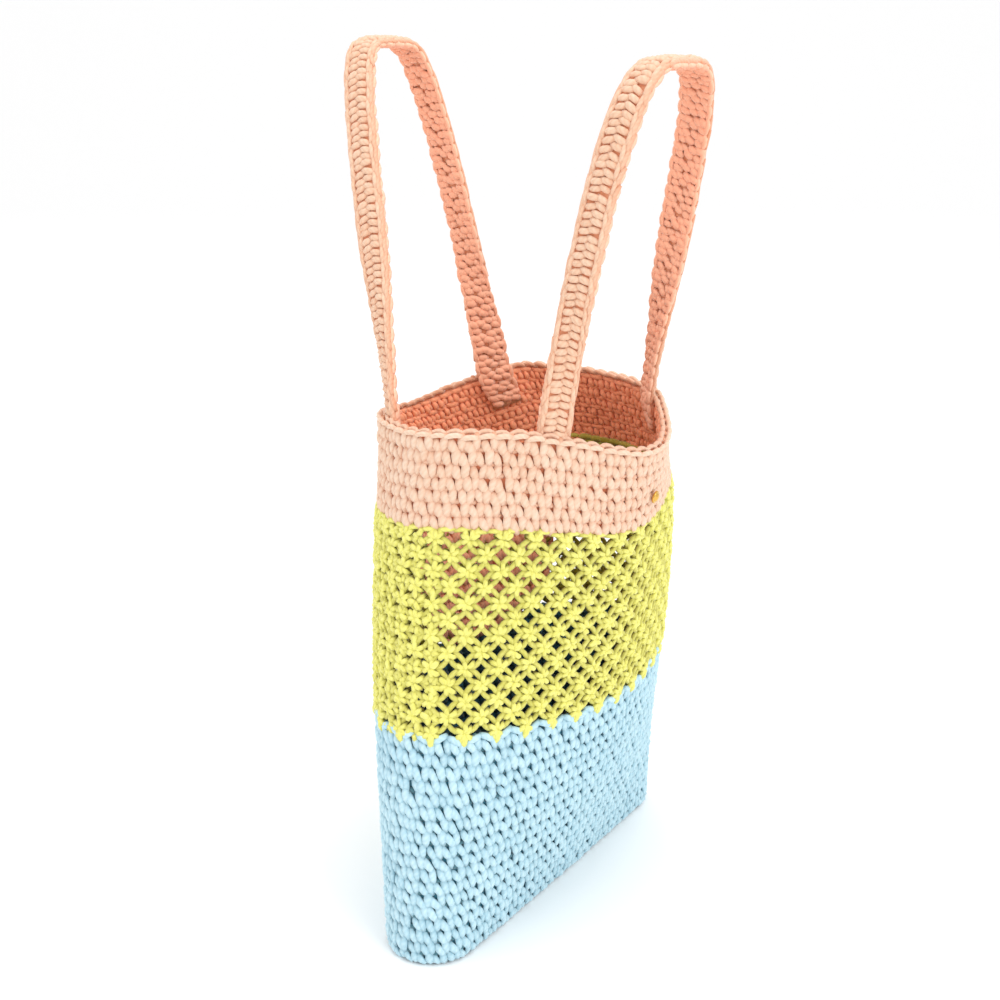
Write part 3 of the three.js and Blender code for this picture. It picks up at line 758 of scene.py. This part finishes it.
height = (POCKET_HIGH - POCKET_LOW) / POCKET_ROUNDS
row = np.arange(POCKET_ROUNDS)[:, None]
y = POCKET_LOW + height * (row + 0.5) + np.zeros(16)
x = (np.arange(16) - 7.5 + LEAN * (row % 5)) * STITCH
inside = np.abs(x) < pocket_half(y) - 0.3 * STITCH
x, y = x[inside], y[inside]
stitch = crochet(height)
# The pocket's stitches take the same coral painted shade.
pocket_stitches = cord_piece("pocket_stitches", [
    laid(stitch[part], x, y, 70 + n, place=in_pocket, lean=V_TURN if n < 2 else 0.0)
    for n, part in enumerate(("left", "right", "loop", "bar", "lump"))
], peach_painted_shade_cord)
y = np.linspace(POCKET_LOW, POCKET_HIGH, 15)
across = np.linspace(-1, 1, 15)
y, x = np.meshgrid(y, across, indexing="ij")
x = x * pocket_half(y)
flat = np.zeros_like(x)
grid = in_pocket(x, y, flat - POCKET_GROUND_DEPTH)
out = in_pocket(x, y, flat + 1) - in_pocket(x, y, flat)
pocket_ground = shell_piece(
    "pocket_ground", grid, out, GROUND_THICK, peach_depth, wraps=False)
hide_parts("inner_pocket")


# The straps: narrow strips crocheted in the peach cord, with a chain along both long edges, and sewn
# flat inside the rim at both ends. They stand up in a tall arch and turn from the wall's line to face
# front and back.
STRAP_WIDTH = 25.0
STRAP_THICK = 5.0
STRAP_FOOT = 22.0
FOOT_GAP = 0.3
TWIST_START = 8.0
TWIST_LENGTH = 95.0
STRAPS = (
    {"name": "strap_left", "side": 1, "far_deg": 46, "near_deg": 152, "rise": 208, "arch_half": 35.5,
     "corner": 4.7, "lean": 0.226, "bow": 0.025, "arch_x": 1},
    {"name": "strap_right", "side": -1, "far_deg": 320, "near_deg": 224, "rise": 199, "arch_half": 48,
     "corner": 4.3, "lean": 0.154, "bow": 0.056, "arch_x": 0},
)
ROW = 8.6
# The worked cords draw in a little from the strip's full width.
DRAWN_IN = 0.88
EDGE_INNER = 8.2
EDGE_OUTER = 10.1
EDGE_BACK = 10.0
STRAP_GROUND_OUT = 0.8
STRAP_GROUND_THICK = 1.4
FOOT_DEPTH = WALL + FOOT_GAP + STRAP_THICK / 2
ACROSS = np.linspace(-1, 1, 9)


def foot_rows(degrees, sign, heights):
    """The strip's places and directions out where it lies against the inside of the band, for
    each height (rows)."""
    x = degrees / 360 * GIRTH + sign * ACROSS * STRAP_WIDTH / 2
    y, x = np.meshgrid(heights, x, indexing="ij")
    flat = np.zeros_like(x)
    out = on_cloth(x, y, flat + 1) - on_cloth(x, y, flat)
    return on_cloth(x, y, flat - FOOT_DEPTH), out


def strap_grid(strap):
    """The strip from end to end (rows) and across (columns): a superellipse arch between its
    two feet, which draws in, leans out and turns from the wall's line to face forward."""
    down = np.linspace(RIM - STRAP_FOOT, RIM, 12)
    far_foot = foot_rows(strap["far_deg"], 1, down)
    near_foot = foot_rows(strap["near_deg"], -1, down[::-1])
    far, near = far_foot[0][-1, 4], near_foot[0][0, 4]
    angle = np.linspace(0, np.pi, 2001)
    side = np.sign(np.cos(angle)) * np.abs(np.cos(angle)) ** (2 / strap["corner"])
    lift = np.abs(np.sin(angle)) ** (2 / strap["corner"])
    height = strap["rise"] * lift
    half = (far[0] - near[0]) / 2 * (1 - lift) + strap["arch_half"] * lift
    middle = (far[0] + near[0]) / 2 * (1 - lift) + strap["arch_x"] * lift
    y = (far[1] + near[1]) / 2 + (far[1] - near[1]) / 2 * side * (1 - lift)
    y = y + strap["side"] * (strap["lean"] * height + strap["bow"] * height * lift)
    foot = near[2] + (far[2] - near[2]) * (side + 1) / 2
    z = foot * (1 - lift) + (far[2] + near[2]) / 2 * lift + height
    line = np.column_stack([middle + half * side, y, z])
    run = np.concatenate([[0], np.cumsum(np.linalg.norm(np.diff(line, axis=0), axis=1))])
    at = np.linspace(0, run[-1], 241)
    centre = np.column_stack([np.interp(at, run, line[:, k]) for k in range(3)])
    along = np.gradient(centre, axis=0)
    along /= np.linalg.norm(along, axis=1, keepdims=True)
    ribbon = np.array([0.0, 1.0, 0.0]) - along * along[:, 1:2]
    ribbon /= np.linalg.norm(ribbon, axis=1, keepdims=True)
    face = np.cross(ribbon, along)
    first = (at < run[-1] / 2)[:, None, None]
    shape = np.where(first, far_foot[0][-1] - far, near_foot[0][0] - near)
    out = np.where(first, far_foot[1][-1], near_foot[1][0])
    rise = centre[:, 2] - np.where(first[:, 0, 0], far[2], near[2])
    twist = smooth((rise - TWIST_START) / TWIST_LENGTH)[:, None, None]
    flat = ribbon[:, None] * (ACROSS * STRAP_WIDTH / 2)[None, :, None]
    places = centre[:, None] + shape * (1 - twist) + flat * twist
    outs = out * (1 - twist) + face[:, None] * twist
    places = np.concatenate([far_foot[0][:-1], places, near_foot[0][1:]])
    outs = np.concatenate([far_foot[1][:-1], outs, near_foot[1][1:]])
    outs = outs / np.linalg.norm(outs, axis=-1, keepdims=True)
    middle = places[:, 4]
    run = np.concatenate([[0], np.cumsum(np.linalg.norm(np.diff(middle, axis=0), axis=1))])
    return places, outs, run


# The heights where the strap's painted shade starts and where it is full, on its face and on its back.
STRAP_FACES = (2.7, -1.4)
STRAP_BACK_FACES = (-1.0, -3.4)
strap_cord = cotton_cord("peach_strap_cord", "#efd0b6", "#e3ae8b", "#e49c77")
strap_painted_shade_cord = cotton_cord("peach_strap_cord_painted_shade", "#ffd6ba", "#fec0a0", "#f8b190")
strap_depth = packed_cord("peach_strap_cotton_shaded", "#e8a784", "#cc8462")
grain_up = strand(
    [(-7.8, 3.4, -0.7), (-5.4, 3.0, 0.9), (-2.4, 2.2, 1.4), (1.2, 1.5, 0.2)],
    2.1, steps=4, taper=0.72, flat=1.1)
grain_low = strand(
    [(-7.8, -1.3, -0.7), (-5.4, -1.6, 0.9), (-2.4, -2.1, 1.4), (1.2, -2.6, 0.2)],
    2.1, steps=4, taper=0.72, flat=1.1)
edge_inner = strand(
    [(1.0, -6.2, -0.4), (-0.2, -2.2, 1.1), (-0.4, 2.4, 1.1), (0.6, 6.2, -0.2)],
    1.6, steps=5, taper=0.6)
edge_outer = strand(
    [(-0.6, -6.2, -0.6), (0.2, -2.2, 0.2), (0.2, 2.4, 0.2), (-0.6, 6.2, -0.6)],
    1.6, steps=5, taper=0.6)
brick = strand(
    [(-3.3, -0.9, -0.8), (-1.2, -0.4, -2.0), (1.2, 0.4, -2.0), (3.3, 0.9, -0.8)],
    2.3, steps=3, taper=0.7, flat=0.75)
edge_back = strand(
    [(0.8, -5.4, -1.0), (-0.2, -1.8, -1.9), (-0.2, 1.8, -1.9), (0.8, 5.4, -1.0)],
    1.6, steps=4, taper=0.6)


def mirrored(shape):
    """The same length of cord seen in a mirror across the strip."""
    points, faces, marks = shape
    return points * (-1, 1, 1), faces[:, ::-1], marks[:, ::-1]


for number, strap in enumerate(STRAPS):
    places, outs, run = strap_grid(strap)

    def on_strap(x, y, out):
        """The place of x mm across and y mm along the strip, moved out of its face."""
        row = np.interp(y, run, np.arange(len(run)))
        col = np.clip((DRAWN_IN * x / STRAP_WIDTH + 0.5) * (len(ACROSS) - 1), -0.6, len(ACROSS) - 0.4)
        return between(places, row, col) + out[..., None] * between(outs, row, col)

    many = int(run[-1] / ROW)
    y = (np.arange(many) + 0.5) * run[-1] / many
    seed = 100 * (number + 1)
    inside = y[(y > ROW * 0.7) & (y < run[-1] - ROW * 0.7)]
    lengths = [(grain_up, 0.0, y), (grain_low, 0.0, y)]
    lengths += [(mirrored(grain_up), 0.0, y + 1.4), (mirrored(grain_low), 0.0, y + 1.4)]
    lengths += [(edge_inner, -EDGE_INNER, inside), (mirrored(edge_inner), EDGE_INNER, inside)]
    lengths += [(edge_outer, -EDGE_OUTER, inside + 3.6), (mirrored(edge_outer), EDGE_OUTER, inside + 3.6)]
    parts = [laid(shape, x, at, seed + k, place=on_strap, wobble=1.0, faces_at=STRAP_FACES)
             for k, (shape, x, at) in enumerate(lengths)]
    stitches = cord_piece(strap["name"] + "_stitches", parts, strap_cord)
    bricks = [(-6.2, 0.0), (0.0, 0.15), (6.2, 0.0), (-3.3, 0.5), (3.3, 0.5), (-7.4, 0.5), (7.4, 0.5)]
    # The strip's back: the same cord in a deeper painted shade.
    backs = cord_piece(strap["name"] + "_backs", [
        laid(brick, x, y + ROW * share, seed + 20 + k,
             place=on_strap, wobble=1.8, lean=0.12, faces_at=STRAP_BACK_FACES)
        for k, (x, share) in enumerate(bricks)
    ] + [
        laid(edge_back, -EDGE_BACK, inside + 2.0, seed + 40, place=on_strap, faces_at=STRAP_BACK_FACES),
        laid(mirrored(edge_back), EDGE_BACK, inside + 2.0, seed + 41,
             place=on_strap, faces_at=STRAP_BACK_FACES),
    ], strap_painted_shade_cord)
    ground = shell_piece(
        strap["name"] + "_ground", (places + STRAP_GROUND_OUT * outs)[::4, 1:-1], outs[::4, 1:-1],
        STRAP_GROUND_THICK, strap_depth, wraps=False)
    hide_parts(strap["name"])


# The stud: a small plain round cap of gold-plated brass, turned with a low rim and riveted through
# the band.
STUD_AROUND = 45.5 / 60
STUD_UP = 0.824 + 0.176 * 1.5 / 4
PROFILE = (
    # radius and height in mm, from the edge of the back to the middle of the front
    (0.0, -0.6), (3.5, -0.6), (3.8, -0.3), (3.85, 0.4), (3.7, 0.8), (3.35, 0.95), (3.05, 0.85),
    (2.85, 0.95), (2.4, 1.45), (1.7, 1.85), (0.9, 2.1), (0.0, 2.2),
)
SIDES = 48
gold, tree, surface = new_material("gold_plated_brass")
surface.inputs["Base Color"].default_value = linear("#e0b25c")
surface.inputs["Metallic"].default_value = 1.0
surface.inputs["Roughness"].default_value = 0.22
scratch = node(tree, "TexNoise", Vector=node(tree, "TexCoord").outputs["Object"], Scale=900.0, Detail=2.0)
bump = node(tree, "Bump", Strength=0.08, Distance=0.1 * MM, Height=scratch.outputs["Fac"])
tree.links.new(bump.outputs["Normal"], surface.inputs["Normal"])
low, high = (np.array(corner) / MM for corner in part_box("stud"))
x, y = np.array([STUD_AROUND * GIRTH]), np.array([STUD_UP * HEIGHT - BASE_EDGE])
flat = np.zeros(1)
facing = (on_cloth(x, y, flat + 1) - on_cloth(x, y, flat))[0]
middle = (low + high) / 2 + 1.2 * facing
level = np.cross((0, 0, 1), facing)
level /= np.linalg.norm(level)
upright = np.cross(facing, level)
profile = np.array(PROFILE)
turn = 2 * np.pi * np.arange(SIDES) / SIDES
rings = (profile[1:-1, 0, None, None] * (np.cos(turn)[:, None] * level + np.sin(turn)[:, None] * upright)
         + profile[1:-1, 1, None, None] * facing)
points = np.concatenate([
    rings.reshape(-1, 3), [profile[0, 1] * facing], [profile[-1, 1] * facing]]) + middle
k, s = np.meshgrid(np.arange(len(rings) - 1), np.arange(SIDES), indexing="ij")
k, s = k.ravel(), s.ravel()
n = (s + 1) % SIDES
faces = np.column_stack([k * SIDES + s, k * SIDES + n, (k + 1) * SIDES + n, (k + 1) * SIDES + s]).tolist()
s = np.arange(SIDES)
n = (s + 1) % SIDES
last = len(rings) * SIDES
faces += np.column_stack([np.full(SIDES, last), n, s]).tolist()
faces += np.column_stack([np.full(SIDES, last + 1), s + last - SIDES, n + last - SIDES]).tolist()
mesh = bpy.data.meshes.new("stud_cap")
mesh.from_pydata((points * MM).tolist(), [], faces)
mesh.polygons.foreach_set("use_smooth", np.ones(len(faces), bool))
mesh.materials.append(gold)
cap = bpy.data.objects.new("stud_cap", mesh)
bpy.context.scene.collection.objects.link(cap)
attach(cap, "root")
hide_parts("stud")
